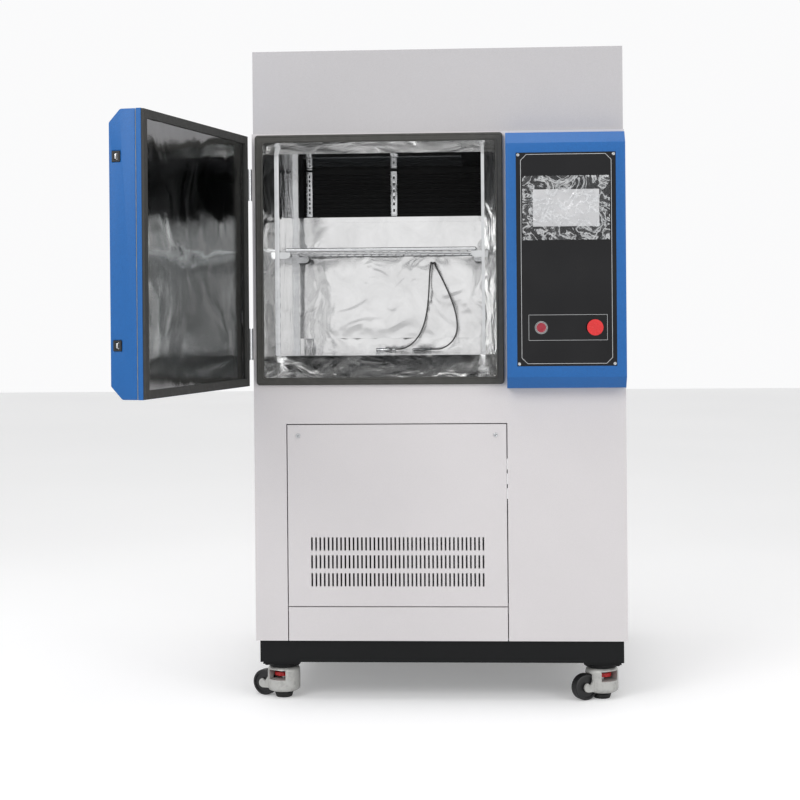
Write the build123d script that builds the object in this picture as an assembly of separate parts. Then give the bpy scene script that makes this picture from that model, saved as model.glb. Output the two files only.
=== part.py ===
from build123d import *
import os
from math import atan2, radians, tan

# Environmental test chamber with its door open, in millimetres.
# X runs to the right, Y to the back and Z up; the origin is on the floor under the cabinet's centre.

# Cabinet
CABINET_W = 900.0
CABINET_D = 900.0
CASTER_H = 94.0
PLINTH_H = 54.0
LOWER_H = 608.0
UPPER_H = 623.0
HOOD_H = 201.0
SHEET = 1.5
RIM = 15.0
DECK_T = 3.0
PLINTH_INSET = 9.0
HOOD_INSET = 2.0
HOOD_SETBACK = 8.0

# Base frame
CHANNEL_W = 40.0
CHANNEL_T = 3.0
CASTER_PLATE = 90.0
CASTER_PLATE_T = 6.0
CASTER_INSET = 60.0

# Lower front: access panel, its vents and the kick strip
ACCESS_LEFT = 81.0
ACCESS_RIGHT = 288.0
ACCESS_W = CABINET_W - ACCESS_LEFT - ACCESS_RIGHT
ACCESS_X = (ACCESS_LEFT - ACCESS_RIGHT) / 2
ACCESS_H = 440.0
ACCESS_TOP_BAND = 84.0
PANEL_GAP = 2.5
PANEL_DEPTH = 12.0
VENT_PITCH = 10.14
VENT_MARGIN = 52.0
VENT_COLUMNS = int((ACCESS_W - 2 * VENT_MARGIN) / VENT_PITCH)
VENT_W = 4.2
VENT_H = 32.0
VENT_ROWS = 3
VENT_ROW_PITCH = 43.5
VENT_DROP = 332.5
SCREW_R = 5.0
SCREW_HEAD_T = 2.4
SCREW_EDGE = 26.0

# Test space and its mouth
SPACE_LEFT_WALL = 45.0
SPACE_RIGHT_WALL = 337.0
SPACE_BOTTOM = 82.0
SPACE_TOP = 43.0
SPACE_BEHIND = 330.0
THROAT_D = 70.0
DUCT_D = 70.0
SPACE_W = CABINET_W - SPACE_LEFT_WALL - SPACE_RIGHT_WALL
SPACE_H = UPPER_H - SPACE_BOTTOM - SPACE_TOP
SPACE_D = CABINET_D - THROAT_D - SPACE_BEHIND
SPACE_X = (SPACE_LEFT_WALL - SPACE_RIGHT_WALL) / 2
LINER_T = 1.5
GASKET_W = 18.0
GASKET_T = 8.0
GASKET_ROUND = 8.0
GASKET_OUT_W = SPACE_W + 82.0
GASKET_OUT_H = SPACE_H + 108.0
GASKET_X = SPACE_X + 4.5
GASKET_BOTTOM = SPACE_BOTTOM - 69.0
INSULATION_SIDE = 26.0
INSULATION_BACK = 60.0

# Rear wall of the test space
DUCT_PLATE_T = 1.5
DUCT_GAP_H = 34.0
BAR_H = 14.0
BAR_W = SPACE_W - 44.0
BAR_T = 6.0
BAR_Z = SPACE_H - 144.0
SLAT_COUNT = 10
SLAT_D = 14.0
STRIP_W = 14.0
STRIP_X = 5.0

# Shelf, its standards and brackets
STANDARD_W = 20.0
STANDARD_T = 8.0
STANDARD_FRONT = 24.0
STANDARD_REAR = SPACE_D - 80.0
SLOT_PITCH = 25.0
SLOT_H = 12.0
SLOT_W = 4.0
SHELF_W = SPACE_W - 40.0
SHELF_D = SPACE_D - 60.0
SHELF_Z = 262.0
SHELF_FRAME_R = 4.75
SHELF_ROD_R = 2.5
SHELF_ROD_COUNT = 20
SHELF_START = 30.0
BRACKET_W = 26.0
BRACKET_H = 16.0

# Lamp unit
GLASS_W = SPACE_W - 118.0
GLASS_D = SPACE_D - 240.0
GLASS_START = 110.0
GLASS_T = 6.0
LAMP_R = 11.0
REFLECTOR_H = 70.0
REFLECTOR_RIM = 20.0
ROOF_T = 4.0
FIN_COUNT = 7
FIN_H = 20.0

# Blower and heater
BLOWER_R = 80.0
BLOWER_W = 36.0
BLADE_COUNT = 14
SHAFT_R = 6.0
SHAFT_CLEAR = 0.05
MOTOR_R = 52.0
MOTOR_L = 110.0
HEATER_R = 4.0

# Door
DOOR_OPEN = 102.0
DOOR_W = CABINET_W / 2 + GASKET_X + GASKET_OUT_W / 2 + 1.5
DOOR_H = GASKET_OUT_H
DOOR_BOTTOM = GASKET_BOTTOM - 2.0
DOOR_T = 72.5
DOOR_GAP = 8.5
DOOR_GASKET_T = 6.0
DOOR_PAN_T = 11.0
DOOR_SEAM = 1.5
CHAMFER_D = 25.0
CHAMFER_H = 27.0
HINGE_PIN_X = 5.6
HINGE_PIN_Y = 8.0
HINGE_R = 6.0
HINGE_PIN_R = 3.0
HINGE_CLEAR = 0.05
HINGE_LEAF_T = 2.0
HINGE_LEAF_W = 34.0
HINGE_H = 76.0
HINGE_LOW = 113.0
HINGE_HIGH = DOOR_H - 107.0
LATCH_LOW = 113.0
LATCH_HIGH = DOOR_H - 99.0
LATCH_W = 18.0
LATCH_H = 22.0
LATCH_INSET = 16.0
HANDLE_X = 110.0
HANDLE_L = 130.0
HANDLE_R = 9.0
SPINDLE_R = 7.0

# Control panel
BEZEL_W = SPACE_RIGHT_WALL - 54.0
BEZEL_RIGHT = 2.0
BEZEL_T = 62.0
BEZEL_BOTTOM = 4.0
BEZEL_H = UPPER_H - 13.0
PLATE_W = BEZEL_W - 47.0
PLATE_H = BEZEL_H - 103.0
PLATE_X = CABINET_W / 2 - BEZEL_RIGHT - BEZEL_W / 2 + 0.8
PLATE_BOTTOM = 57.0
PLATE_T = 3.0
PLATE_RECESS = 1.0
SCREEN_W = PLATE_W - 35.0
SCREEN_H = 148.0
SCREEN_T = 5.0
SCREEN_BACK = 36.0
SCREEN_Z = UPPER_H - 191.0
BUTTON_Z = 148.5
POWER_X = PLATE_X - 60.7
ESTOP_X = PLATE_X + 65.2
BUTTON_HOLE_R = 13.0
COLLAR_T = 3.0
POWER_RING_R = 15.0
POWER_CAP_R = 11.4
ESTOP_RING_R = 15.0
ESTOP_STEM_R = 8.0
ESTOP_HEAD_R = 19.0
BUTTON_CLEAR = 0.3

# Levelling casters
HOUSING_R = 40.0
HOUSING_ROUND = 10.0
HOUSING_TOP = 76.0
HOUSING_BOTTOM = 16.0
WINDOW_W = 45.0
WINDOW_H = 24.0
WINDOW_Z = 46.0
WHEEL_R = 31.5
WHEEL_W = 24.0
TRAIL = 50.0
CHEEK_T = 5.0
AXLE_R = 4.0
AXLE_CLEAR = 0.05
WHEEL_GAP = 1.5
KINGPIN_R = 8.0
STEM_R = 6.0
FOOT_R = 23.0
FOOT_T = 12.0
FOOT_LIFT = 0.0
THUMB_R = 22.5
THUMB_CLEAR = 1.5
NOTCH_COUNT = 18
THUMB_T = 9.0
CASTER_TURNS = {"front_left": -22.0, "front_right": 30.0, "rear_left": -75.0, "rear_right": -110.0}

# Refrigeration, water and electrics
COMPRESSOR_R = 75.0
COMPRESSOR_H = 210.0
COMPRESSOR_LEFT = 220.0
COMPRESSOR_BACK = 330.0
CONDENSER_W = 300.0
CONDENSER_H = 260.0
CONDENSER_T = 60.0
FAN_R = 110.0
FAN_CLEAR = 4.0
FAN_BLADES = 5
TANK_W = 200.0
TANK_D = 320.0
TANK_H = 280.0
TANK_T = 4.0
TANK_RIGHT = 70.0
TANK_FRONT = 190.0
RACK_W = BEZEL_W - 33.0
RACK_H = UPPER_H - 163.0
RACK_RIGHT = 160.0
RACK_BACK = 390.0
RACK_MODULE = 60.0
MAINS_RIGHT = 150.0

# Sensor leads
LEAD_R = 2.0
PROBE_R = 4.0
PROBE_L = 46.0
LEAD_EXIT_Z = 239.0
LEAD_LEFT_X = 108.0
LEAD_RIGHT_X = 116.0
LEAD_LEFT = [(108, -20, 239), (108, -38, 239), (106, -52, 228), (104, -57, 202), (102, -59, 156),
             (97, -60, 106), (86, -63, 62), (68, -68, 30), (47, -75, 12), (25, -83, 4.4), (3, -91, 4.4)]
LEAD_RIGHT = [(116, -20, 239), (116, -39, 239), (121, -54, 229), (133, -62, 206), (152, -67, 168),
              (170, -70, 122), (180, -72, 78), (177, -76, 42), (160, -83, 18), (138, -91, 5.5),
              (118, -100, 4.4), (100, -111, 4.4)]

FRONT = -CABINET_D / 2
BACK = CABINET_D / 2
LEFT = -CABINET_W / 2
RIGHT = CABINET_W / 2
PLINTH_Z = CASTER_H
LOWER_Z = PLINTH_Z + PLINTH_H
UPPER_Z = LOWER_Z + LOWER_H
HOOD_Z = UPPER_Z + UPPER_H
TOP_Z = HOOD_Z + HOOD_H
SPACE_FRONT = FRONT + THROAT_D
SPACE_REAR = SPACE_FRONT + SPACE_D
LINER_REAR = SPACE_REAR + DUCT_D
SPACE_LEFT = SPACE_X - SPACE_W / 2
SPACE_RIGHT = SPACE_X + SPACE_W / 2
FLOOR_Z = UPPER_Z + SPACE_BOTTOM
CEILING_Z = FLOOR_Z + SPACE_H
OVERLAP = 5.0

os.makedirs("parts", exist_ok=True)


def block(x0, x1, y0, y1, z0, z1):
    return Pos((x0 + x1) / 2, (y0 + y1) / 2, (z0 + z1) / 2) * Box(x1 - x0, y1 - y0, z1 - z0)


def rod(start, end, radius):
    """A round bar from one point to another."""
    a, b = Vector(*start), Vector(*end)
    plane = Plane(origin=a, z_dir=b - a)
    return plane * Pos(0, 0, (b - a).length / 2) * Cylinder(radius, (b - a).length)


def write(name, *solids):
    shape = solids[0] if len(solids) == 1 else Compound(children=list(solids))
    export_step(shape, "parts/" + name + ".step")


def single(shape):
    """The one solid of a shape, cleaned."""
    return shape.solids()[0]


def pan(x0, x1, y0, y1, z0, z1, face, openings=()):
    """A folded sheet: a face and a rim all round, with openings that have their own rim."""
    outer = block(x0, x1, y0, y1, z0, z1)
    cuts = {"-y": (x0 + SHEET, x1 - SHEET, y0 + SHEET, y1 + OVERLAP, z0 + SHEET, z1 - SHEET),
            "+y": (x0 + SHEET, x1 - SHEET, y0 - OVERLAP, y1 - SHEET, z0 + SHEET, z1 - SHEET),
            "-x": (x0 + SHEET, x1 + OVERLAP, y0 + SHEET, y1 - SHEET, z0 + SHEET, z1 - SHEET),
            "+x": (x0 - OVERLAP, x1 - SHEET, y0 + SHEET, y1 - SHEET, z0 + SHEET, z1 - SHEET)}
    shape = outer - block(*cuts[face])
    for ox0, ox1, oz0, oz1 in openings:
        rim = block(ox0 - SHEET, ox1 + SHEET, y0, y1, oz0 - SHEET, oz1 + SHEET)
        shape = shape + (rim & outer)
        shape = shape - block(ox0, ox1, y0 - OVERLAP, y1 + OVERLAP, oz0, oz1)
    return shape


def vent_slots(x, y, z):
    """A grid of upright vent slots through a sheet that faces along Y; x and z are the grid's centre."""
    cuts = []
    for row in range(VENT_ROWS):
        for column in range(VENT_COLUMNS):
            cx = x + (column - (VENT_COLUMNS - 1) / 2) * VENT_PITCH
            cz = z + (row - (VENT_ROWS - 1) / 2) * VENT_ROW_PITCH
            cuts.append(Pos(cx, y, cz) * Box(VENT_W, 4 * SHEET, VENT_H))
    return cuts


# Base frame: C channels welded to a ring, with a plate at each corner for a caster
def base_frame():
    x, y = RIGHT - PLINTH_INSET, BACK - PLINTH_INSET
    shape = block(-x, x, -y, y, PLINTH_Z, LOWER_Z)
    shape -= block(-x + CHANNEL_W, x - CHANNEL_W, -y + CHANNEL_W, y - CHANNEL_W, PLINTH_Z - 1, LOWER_Z + 1)
    shape -= block(-x + CHANNEL_T, x - CHANNEL_T, -y + CHANNEL_T, y - CHANNEL_T,
                   PLINTH_Z + CHANNEL_T, LOWER_Z - CHANNEL_T)
    reach = CASTER_INSET + CASTER_PLATE / 2 + CHANNEL_T
    for sx in (-1, 1):
        for sy in (-1, 1):
            xs = sorted((sx * (x - CHANNEL_T), sx * (RIGHT - reach)))
            ys = sorted((sy * (y - CHANNEL_T), sy * (BACK - reach)))
            shape += block(*xs, *ys, PLINTH_Z, PLINTH_Z + 2 * CHANNEL_T)
    shape += block(-x + CHANNEL_T, x - CHANNEL_T, -CHANNEL_W / 2, CHANNEL_W / 2, LOWER_Z - CHANNEL_W, LOWER_Z)
    return shape


# Casters
def caster_place(corner):
    sx = -1 if "left" in corner else 1
    sy = -1 if "front" in corner else 1
    return Pos(sx * (RIGHT - CASTER_INSET), sy * (BACK - CASTER_INSET), 0)


def caster_plate():
    plate = Pos(0, 0, CASTER_H - CASTER_PLATE_T / 2) * Box(CASTER_PLATE, CASTER_PLATE, CASTER_PLATE_T)
    plate += Pos(0, 0, (HOUSING_TOP + 1 + CASTER_H) / 2) * Cylinder(HOUSING_R - 4, CASTER_H - HOUSING_TOP - 1)
    plate += Pos(0, 0, HOUSING_TOP - 4) * Cylinder(KINGPIN_R, 12)
    bolt = Cylinder(5.5, 4)
    for sx in (-1, 1):
        for sy in (-1, 1):
            at = CASTER_PLATE / 2 - 9
            plate += Pos(sx * at, sy * at, CASTER_H - CASTER_PLATE_T - 1.5) * bolt
    return plate


def caster_housing():
    shape = Pos(0, 0, (HOUSING_TOP + HOUSING_BOTTOM) / 2) * Cylinder(HOUSING_R, HOUSING_TOP - HOUSING_BOTTOM)
    shape = fillet(shape.edges().group_by(Axis.Z)[0] + shape.edges().group_by(Axis.Z)[-1], HOUSING_ROUND)
    gap = WHEEL_W / 2 + WHEEL_GAP
    for side in (-1, 1):
        ys = sorted((side * gap, side * (gap + CHEEK_T)))
        arm = block(-TRAIL, 0, *ys, WHEEL_R - 11, WHEEL_R + 26)
        arm += Pos(-TRAIL, side * (gap + CHEEK_T / 2), WHEEL_R) * Rot(90, 0, 0) * Cylinder(11, CHEEK_T)
        arm -= Pos(-TRAIL - 11, 0, WHEEL_R + 33) * Rot(0, 35, 0) * Box(60, 80, 26)
        shape += arm
    shape -= Pos(-TRAIL, 0, WHEEL_R) * Rot(90, 0, 0) * Cylinder(WHEEL_R + 2, 2 * gap)
    shape += Pos(-TRAIL, 0, WHEEL_R) * Rot(90, 0, 0) * Cylinder(AXLE_R, 2 * gap + 2 * CHEEK_T)
    shape -= Pos(0, 0, WINDOW_Z + WINDOW_H / 2) * Box(WINDOW_W, 4 * HOUSING_R, WINDOW_H)
    shape -= Pos(0, 0, WINDOW_Z + WINDOW_H / 2) * Cylinder(THUMB_R + THUMB_CLEAR, WINDOW_H)
    shape -= Pos(0, 0, HOUSING_TOP - 4.5) * Cylinder(KINGPIN_R + AXLE_CLEAR, 13)
    shape -= Pos(0, 0, (HOUSING_BOTTOM + WINDOW_Z) / 2) * Cylinder(STEM_R + AXLE_CLEAR, 60)
    return single(shape)


def caster_wheel():
    wheel = Cylinder(WHEEL_R, WHEEL_W)
    wheel = fillet(wheel.edges(), 3)
    for side in (-1, 1):
        wheel -= Pos(0, 0, side * WHEEL_W / 2) * (Cylinder(WHEEL_R - 6, 6) - Cylinder(9, 8))
    wheel -= Cylinder(AXLE_R + AXLE_CLEAR, WHEEL_W + 2)
    return Pos(-TRAIL, 0, WHEEL_R) * Rot(90, 0, 0) * wheel


def caster_foot():
    """The rubber pad, its threaded stem and the thumbwheel that is fixed on the stem."""
    pad = Pos(0, 0, FOOT_LIFT + FOOT_T / 2) * Cylinder(FOOT_R, FOOT_T)
    pad = fillet(pad.edges().group_by(Axis.Z)[0], 2.5)
    middle = WINDOW_Z + WINDOW_H / 2
    top = middle + THUMB_T / 2
    stem = Pos(0, 0, (FOOT_LIFT + FOOT_T + top) / 2) * Cylinder(STEM_R, top - FOOT_LIFT - FOOT_T)
    thumb = Pos(0, 0, middle) * Cylinder(THUMB_R, THUMB_T)
    notch = Pos(THUMB_R + 0.8, 0, middle) * Cylinder(2.2, THUMB_T + 2)
    thumb -= [Rot(0, 0, 360 / NOTCH_COUNT * n) * notch for n in range(NOTCH_COUNT)]
    return single(pad + stem + thumb)


housing, wheel, foot = caster_housing(), caster_wheel(), caster_foot()
for corner, turn in CASTER_TURNS.items():
    place = caster_place(corner) * Rot(0, 0, turn)
    write("caster_housing_" + corner, place * housing)
    write("caster_wheel_" + corner, place * wheel)
    write("caster_foot_" + corner, place * foot)
plate = caster_plate()
write("base_frame", base_frame(), *[caster_place(corner) * plate for corner in CASTER_TURNS])

# Cabinet panels
ACCESS_X0 = ACCESS_X - ACCESS_W / 2
ACCESS_X1 = ACCESS_X + ACCESS_W / 2
ACCESS_Z1 = UPPER_Z - ACCESS_TOP_BAND
ACCESS_Z0 = ACCESS_Z1 - ACCESS_H
SPACE_MOUTH = (GASKET_X - GASKET_OUT_W / 2 + GASKET_W, GASKET_X + GASKET_OUT_W / 2 - GASKET_W,
               UPPER_Z + GASKET_BOTTOM + GASKET_W, UPPER_Z + GASKET_BOTTOM + GASKET_OUT_H - GASKET_W)


def lower_front():
    x0, x1, z1 = ACCESS_X0 - PANEL_GAP, ACCESS_X1 + PANEL_GAP, ACCESS_Z1 + PANEL_GAP
    shape = pan(LEFT, RIGHT, FRONT, FRONT + RIM, LOWER_Z, UPPER_Z, "-y", [(x0, x1, LOWER_Z - RIM, z1)])
    ledge = block(x0, x1, FRONT + PANEL_DEPTH, FRONT + RIM, ACCESS_Z0 - 20, ACCESS_Z0 + 6)
    return shape + ledge


def access_panel():
    shape = pan(ACCESS_X0, ACCESS_X1, FRONT, FRONT + PANEL_DEPTH, ACCESS_Z0, ACCESS_Z1, "-y")
    return shape - vent_slots(ACCESS_X, FRONT, ACCESS_Z1 - VENT_DROP)


def kick_strip():
    return pan(ACCESS_X0, ACCESS_X1, FRONT, FRONT + PANEL_DEPTH, LOWER_Z, ACCESS_Z0 - PANEL_GAP, "-y")


def rear_panel(z0, z1, vent_z):
    shape = pan(LEFT, RIGHT, BACK - RIM, BACK, z0, z1, "+y")
    return shape - vent_slots(0, BACK, vent_z)


def side_panel(side, z0, z1):
    xs = sorted((side * RIGHT, side * (RIGHT - RIM)))
    return pan(*xs, FRONT + RIM, BACK - RIM, z0, z1, "+x" if side > 0 else "-x")


def upper_front():
    x0, x1, z0, z1 = SPACE_MOUTH
    mouth = (x0 - LINER_T, x1 + LINER_T, z0 - LINER_T, z1 + LINER_T)
    inner = RIGHT - BEZEL_RIGHT - BEZEL_W + RIM
    control = (inner, RIGHT - RIM - BEZEL_RIGHT, UPPER_Z + RIM + BEZEL_BOTTOM, HOOD_Z - 2 * RIM)
    return pan(LEFT, RIGHT, FRONT, FRONT + RIM, UPPER_Z, HOOD_Z, "-y", [mouth, control])


def hood():
    x, y0, y1 = RIGHT - HOOD_INSET, FRONT + HOOD_SETBACK, BACK
    shape = block(-x, x, y0, y1, HOOD_Z, TOP_Z)
    return shape - block(-x + SHEET, x - SHEET, y0 + SHEET, y1 - SHEET, HOOD_Z - 1, TOP_Z - SHEET)


def screw(x, y, z):
    head = rod((x, y, z), (x, y - SCREW_HEAD_T, z), SCREW_R)
    head -= block(x - SCREW_R, x + SCREW_R, y - SCREW_HEAD_T - 1, y - SCREW_HEAD_T + 1, z - 0.6, z + 0.6)
    return single(head)


write("lower_front_frame", lower_front())
write("access_panel", access_panel())
write("kick_strip", kick_strip())
levels = [(LOWER_Z, UPPER_Z), (UPPER_Z, HOOD_Z)]
write("side_panels", *[side_panel(side, *level) for level in levels for side in (-1, 1)])
write("rear_panels", rear_panel(LOWER_Z, UPPER_Z, LOWER_Z + 300), rear_panel(UPPER_Z, HOOD_Z, UPPER_Z + 500))
write("upper_front_frame", upper_front())
write("hood_shell", hood())

# Each deck is flat sheet; the top one is four strips round the light shaft
DX, DY = RIGHT - RIM, BACK - RIM
GX0, GX1 = SPACE_X - GLASS_W / 2, SPACE_X + GLASS_W / 2
GY0 = SPACE_FRONT + GLASS_START
GY1 = GY0 + GLASS_D
shaft_cut = block(GX0, GX1, GY0, GY1, CEILING_Z - OVERLAP, HOOD_Z + OVERLAP)
decks = [block(-DX, DX, -DY, DY, z, z + DECK_T) for z in (LOWER_Z, UPPER_Z)]
for x0, x1, y0, y1 in ((-DX, DX, -DY, GY0), (-DX, DX, GY1, DY), (-DX, GX0, GY0, GY1), (GX1, DX, GY0, GY1)):
    decks.append(block(x0, x1, y0, y1, HOOD_Z - DECK_T, HOOD_Z))
write("decks", *decks)
screws = [screw(x, FRONT, ACCESS_Z1 - SCREW_EDGE) for x in (ACCESS_X0 + SCREW_EDGE, ACCESS_X1 - SCREW_EDGE)]
write("access_panel_screws", *screws)

# Chamber: mouth, liner, insulation and frame gasket
MX0, MX1, MZ0, MZ1 = SPACE_MOUTH


def rectangle_at(x0, x1, z0, z1, y):
    plane = Plane(origin=((x0 + x1) / 2, y, (z0 + z1) / 2), x_dir=(1, 0, 0), z_dir=(0, -1, 0))
    return plane * Rectangle(x1 - x0, z1 - z0)


def funnel(grow, extend):
    front = rectangle_at(MX0 - grow, MX1 + grow, MZ0 - grow, MZ1 + grow, FRONT - extend)
    back = rectangle_at(SPACE_LEFT - grow, SPACE_RIGHT + grow, FLOOR_Z - grow, CEILING_Z + grow,
                        SPACE_FRONT + extend)
    return loft([front, back])


def throat():
    return single(funnel(LINER_T, 0) - funnel(0, 0.001))


def liner():
    t = LINER_T
    outer = block(SPACE_LEFT - t, SPACE_RIGHT + t, SPACE_FRONT, LINER_REAR + t, FLOOR_Z - t, CEILING_Z + t)
    shape = outer - block(SPACE_LEFT, SPACE_RIGHT, SPACE_FRONT - 1, LINER_REAR, FLOOR_Z, CEILING_Z)
    shape -= rod((SPACE_X, LINER_REAR - 1, MOTOR_Z), (SPACE_X, LINER_REAR + t + 1, MOTOR_Z), SHAFT_R + 2)
    return shape - shaft_cut


def insulation():
    t, s = LINER_T, INSULATION_SIDE
    outer = block(SPACE_LEFT - t - s, SPACE_RIGHT + t + s, SPACE_FRONT, LINER_REAR + t + INSULATION_BACK,
                  UPPER_Z + DECK_T, HOOD_Z - DECK_T)
    shape = outer - block(SPACE_LEFT - t, SPACE_RIGHT + t, SPACE_FRONT - 1, LINER_REAR + t,
                          FLOOR_Z - t, CEILING_Z + t)
    shape -= rod((SPACE_X, LINER_REAR, MOTOR_Z), (SPACE_X, LINER_REAR + 200, MOTOR_Z), SHAFT_R + 2)
    return shape - shaft_cut


def frame_gasket():
    x0, x1 = GASKET_X - GASKET_OUT_W / 2, GASKET_X + GASKET_OUT_W / 2
    z0 = UPPER_Z + GASKET_BOTTOM
    outer = block(x0, x1, FRONT - GASKET_T, FRONT, z0, z0 + GASKET_OUT_H)
    shape = outer - block(MX0, MX1, FRONT - GASKET_T - 1, FRONT + 1, MZ0, MZ1)
    return fillet(shape.edges().filter_by(Axis.Y), GASKET_ROUND)


MOTOR_Z = FLOOR_Z + 180
write("throat_frame", throat())
write("inner_liner", liner())
write("chamber_insulation", insulation())
write("frame_gasket", frame_gasket())

# Rear wall of the test space: duct plate, bright bar and dark outlet grille
BAR_BOTTOM = FLOOR_Z + BAR_Z
plate_low = block(SPACE_LEFT, SPACE_RIGHT, SPACE_REAR, SPACE_REAR + DUCT_PLATE_T,
                  FLOOR_Z + DUCT_GAP_H, BAR_BOTTOM + BAR_H)
plate_low += block(SPACE_LEFT, SPACE_LEFT + DUCT_PLATE_T, SPACE_REAR, LINER_REAR, FLOOR_Z, BAR_BOTTOM)
plate_low += block(SPACE_RIGHT - DUCT_PLATE_T, SPACE_RIGHT, SPACE_REAR, LINER_REAR, FLOOR_Z, BAR_BOTTOM)
bar = block(SPACE_X - BAR_W / 2, SPACE_X + BAR_W / 2, SPACE_REAR - BAR_T, SPACE_REAR,
            BAR_BOTTOM, BAR_BOTTOM + BAR_H)
for n in (-1, 0, 1):
    at = (SPACE_X + n * (BAR_W / 2 - 40), SPACE_REAR - BAR_T, BAR_BOTTOM + BAR_H / 2)
    bar += rod(at, (at[0], at[1] - 1.6, at[2]), 3)
write("duct_plate", plate_low, bar)


def outlet_grille():
    z0, z1 = BAR_BOTTOM + BAR_H, CEILING_Z
    y = SPACE_REAR
    x = SPACE_X + STRIP_X
    shape = block(SPACE_LEFT, SPACE_RIGHT, y + SLAT_D - SHEET, y + SLAT_D, z0, z1)
    shape += block(x - STRIP_W / 2, x + STRIP_W / 2, y, y + 2, z0, z1)
    for x in (SPACE_LEFT, SPACE_RIGHT - STRIP_W):
        shape += block(x, x + STRIP_W, y, y + SLAT_D, z0, z1)
    step = (z1 - z0) / SLAT_COUNT
    for n in range(SLAT_COUNT):
        z = z0 + n * step
        shape += block(SPACE_LEFT, SPACE_RIGHT, y + 1, y + SLAT_D, z, z + 1.5)
    return shape


write("outlet_grille", outlet_grille())

# Shelf standards, brackets and the wire shelf
standards, brackets = [], []
SHELF_TOP = FLOOR_Z + SHELF_Z
for side in (-1, 1):
    wall = SPACE_LEFT if side < 0 else SPACE_RIGHT
    for y in (SPACE_FRONT + STANDARD_FRONT, SPACE_FRONT + STANDARD_REAR):
        xs = sorted((wall, wall - side * STANDARD_T))
        strip = block(*xs, y, y + STANDARD_W, FLOOR_Z, CEILING_Z)
        slots = []
        for n in range(int((SPACE_H - SLOT_PITCH) / SLOT_PITCH)):
            z = FLOOR_Z + SLOT_PITCH * (n + 1)
            slots.append(block(min(xs) - 1, max(xs) + 1, y + STANDARD_W / 2 - SLOT_W / 2,
                               y + STANDARD_W / 2 + SLOT_W / 2, z - SLOT_H / 2, z + SLOT_H / 2))
        standards.append(strip - slots)
        xb = sorted((wall - side * STANDARD_T, wall - side * (STANDARD_T + BRACKET_W)))
        top = SHELF_TOP - SHELF_FRAME_R - BUTTON_CLEAR
        tab = block(*xb, y + 4, y + STANDARD_W - 4, top - BRACKET_H, top)
        edge = tab.edges().filter_by(Axis.Y).group_by(Axis.Z)[0].sort_by(Axis.X)
        tab = fillet(edge[-1] if side < 0 else edge[0], BRACKET_H * 0.7)
        brackets.append(tab)
write("shelf_supports", *standards, *brackets)


def wire_shelf():
    x0, x1 = SPACE_X - SHELF_W / 2 + SHELF_FRAME_R, SPACE_X + SHELF_W / 2 - SHELF_FRAME_R
    y0 = SPACE_FRONT + SHELF_START + SHELF_FRAME_R
    y1 = y0 + SHELF_D - 2 * SHELF_FRAME_R
    corners = [(x0, y0), (x1, y0), (x1, y1), (x0, y1)]
    shape = None
    for (ax, ay), (bx, by) in zip(corners, corners[1:] + corners[:1]):
        bar_solid = rod((ax, ay, SHELF_TOP), (bx, by, SHELF_TOP), SHELF_FRAME_R)
        shape = bar_solid if shape is None else shape + bar_solid
    for ax, ay in corners:
        shape += Pos(ax, ay, SHELF_TOP) * Sphere(SHELF_FRAME_R)
    step = (x1 - x0) / (SHELF_ROD_COUNT + 1)
    xs = [x0 + step * (n + 1) for n in range(SHELF_ROD_COUNT)]
    shape += [rod((x, y0, SHELF_TOP), (x, y1, SHELF_TOP), SHELF_ROD_R) for x in xs]
    middle = (y0 + y1) / 2
    shape += rod((x0, middle, SHELF_TOP - SHELF_ROD_R), (x1, middle, SHELF_TOP - SHELF_ROD_R), SHELF_ROD_R)
    return single(shape)


write("wire_shelf", wire_shelf())

# Lamp unit in the hood: filter glass in the ceiling, lamp tube, reflector with fins
write("filter_glass", block(GX0, GX1, GY0, GY1, CEILING_Z - 1, CEILING_Z - 1 + GLASS_T))


def reflector():
    """Four walls, a roof and the cooling fins on it, all flat sheet."""
    x0, x1, y0, y1 = GX0 - REFLECTOR_RIM, GX1 + REFLECTOR_RIM, GY0 - REFLECTOR_RIM, GY1 + REFLECTOR_RIM
    roof = HOOD_Z + REFLECTOR_H - ROOF_T
    sheets = [block(x0, x1, y0, GY0, HOOD_Z, roof), block(x0, x1, GY1, y1, HOOD_Z, roof),
              block(x0, GX0, GY0, GY1, HOOD_Z, roof), block(GX1, x1, GY0, GY1, HOOD_Z, roof),
              block(x0, x1, y0, y1, roof, roof + ROOF_T)]
    step = (y1 - y0 - 20) / (FIN_COUNT - 1)
    for n in range(FIN_COUNT):
        y = y0 + 10 + n * step
        sheets.append(block(x0, x1, y - 1, y + 1, roof + ROOF_T, roof + ROOF_T + FIN_H))
    return sheets


lamp_y = (GY0 + GY1) / 2
lamp_z = HOOD_Z + REFLECTOR_H / 2
write("lamp_unit", *reflector(), rod((GX0, lamp_y, lamp_z), (GX1, lamp_y, lamp_z), LAMP_R))

# Blower, its motor and the heater in the duct
wheel_y0 = SPACE_REAR + DUCT_PLATE_T + 12
wheel_y1 = wheel_y0 + BLOWER_W
motor_y0 = LINER_REAR + LINER_T + INSULATION_BACK


def blower_wheel():
    shape = rod((SPACE_X, wheel_y1 - 2, MOTOR_Z), (SPACE_X, wheel_y1, MOTOR_Z), BLOWER_R)
    shape += rod((SPACE_X, wheel_y0, MOTOR_Z), (SPACE_X, motor_y0 + MOTOR_L - 20, MOTOR_Z), SHAFT_R)
    blade = block(BLOWER_R - 26, BLOWER_R - 1, wheel_y0, wheel_y1 - 1, -0.75, 0.75)
    shape += [Pos(SPACE_X, 0, MOTOR_Z) * Rot(0, 360 / BLADE_COUNT * n, 0) * blade for n in range(BLADE_COUNT)]
    return single(shape)


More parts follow.
